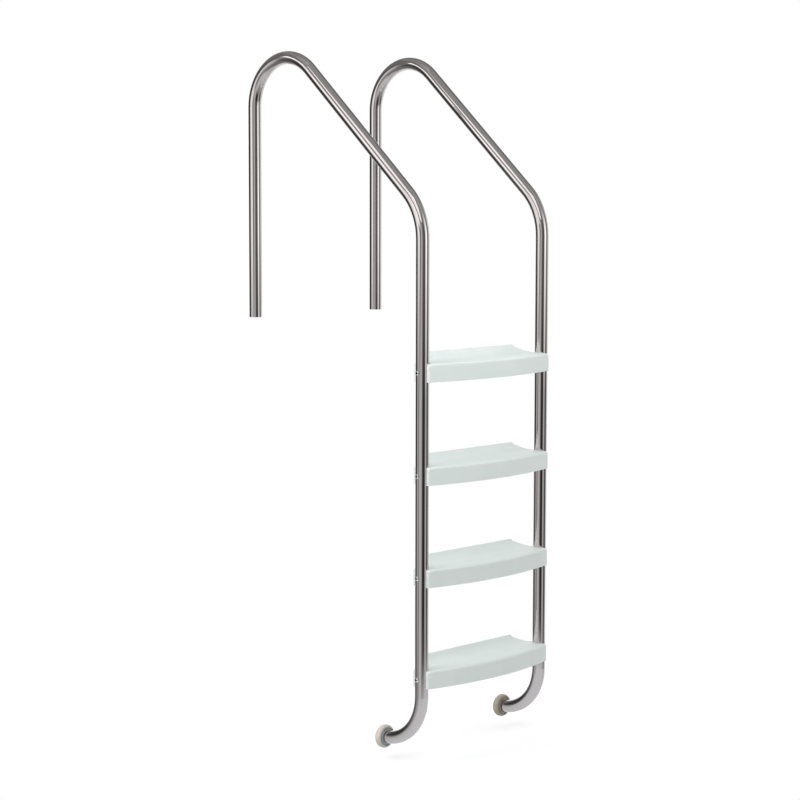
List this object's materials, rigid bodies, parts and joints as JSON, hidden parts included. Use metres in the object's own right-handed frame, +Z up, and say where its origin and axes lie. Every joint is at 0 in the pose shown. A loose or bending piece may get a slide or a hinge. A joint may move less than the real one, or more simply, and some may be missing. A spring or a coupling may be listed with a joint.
{
  "type": "pool ladder",
  "caption": "In-ground pool ladder: two bent tube handrails that run down into the water, moulded bowed treads bolted between them, round bumpers on the feet.",
  "frame": {"origin": "centre of the left deck leg's cut bottom end, the end that goes down into a deck anchor", "axes": "+X from the left rail to the right rail along the treads, +Y from the pool side toward the deck and pool wall, +Z up"},
  "size_m": [0.574, 0.763, 1.9863],
  "materials": {
    "rail_tube": "satin",
    "tread_plastic": "matte",
    "fastener_steel": "satin",
    "bumper_rubber": "matte"
  },
  "bodies": {
    "root": {"left_rail": "rail_tube", "right_rail": "rail_tube", "top_tread": "tread_plastic", "upper_tread": "tread_plastic", "lower_tread": "tread_plastic", "bottom_tread": "tread_plastic", "left_bolt_top": "fastener_steel", "left_nut_top": "fastener_steel", "left_bolt_upper": "fastener_steel", "left_nut_upper": "fastener_steel", "left_bolt_lower": "fastener_steel", "left_nut_lower": "fastener_steel", "left_bolt_bottom": "fastener_steel", "left_nut_bottom": "fastener_steel", "right_bolt_top": "fastener_steel", "right_nut_top": "fastener_steel", "right_bolt_upper": "fastener_steel", "right_nut_upper": "fastener_steel", "right_bolt_lower": "fastener_steel", "right_nut_lower": "fastener_steel", "right_bolt_bottom": "fastener_steel", "right_nut_bottom": "fastener_steel", "left_bumper": "bumper_rubber", "right_bumper": "bumper_rubber"}
  },
  "joints": []
}
